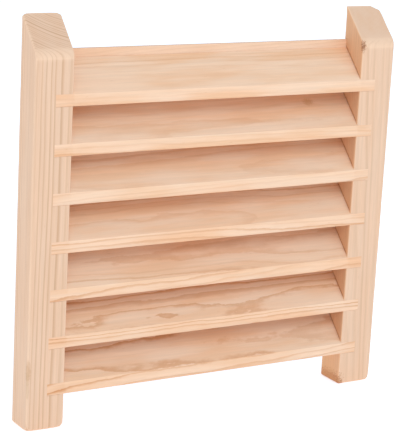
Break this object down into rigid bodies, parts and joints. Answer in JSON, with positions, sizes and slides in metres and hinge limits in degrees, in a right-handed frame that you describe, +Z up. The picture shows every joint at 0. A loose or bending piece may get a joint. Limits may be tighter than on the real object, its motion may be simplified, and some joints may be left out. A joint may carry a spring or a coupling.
{
  "type": "paint rack organizer",
  "caption": "Wooden paint rack with slanted shelves housed between upright posts that have sloping tops and square feet, closed by a thin back panel.",
  "frame": {"origin": "on the floor under the middle of the rack, midway between the posts' outer sides and midway through their depth", "axes": "+X to the right seen from the front, +Y towards the back panel, +Z up the posts"},
  "size_m": [0.305, 0.0254, 0.3014],
  "materials": {
    "post_wood": "bare sanded softwood, straight grain",
    "shelf_wood": "bare sanded softwood, flat-sawn grain",
    "panel_wood": "bare sanded thin board",
    "brad_steel": "plain bright wire"
  },
  "bodies": {
    "root": {"left_post": "post_wood", "right_post": "post_wood", "shelf_1": "shelf_wood", "shelf_2": "shelf_wood", "shelf_3": "shelf_wood", "shelf_4": "shelf_wood", "shelf_5": "shelf_wood", "shelf_6": "shelf_wood", "shelf_7": "shelf_wood", "back_panel": "panel_wood", "panel_brads": "brad_steel"}
  },
  "joints": []
}
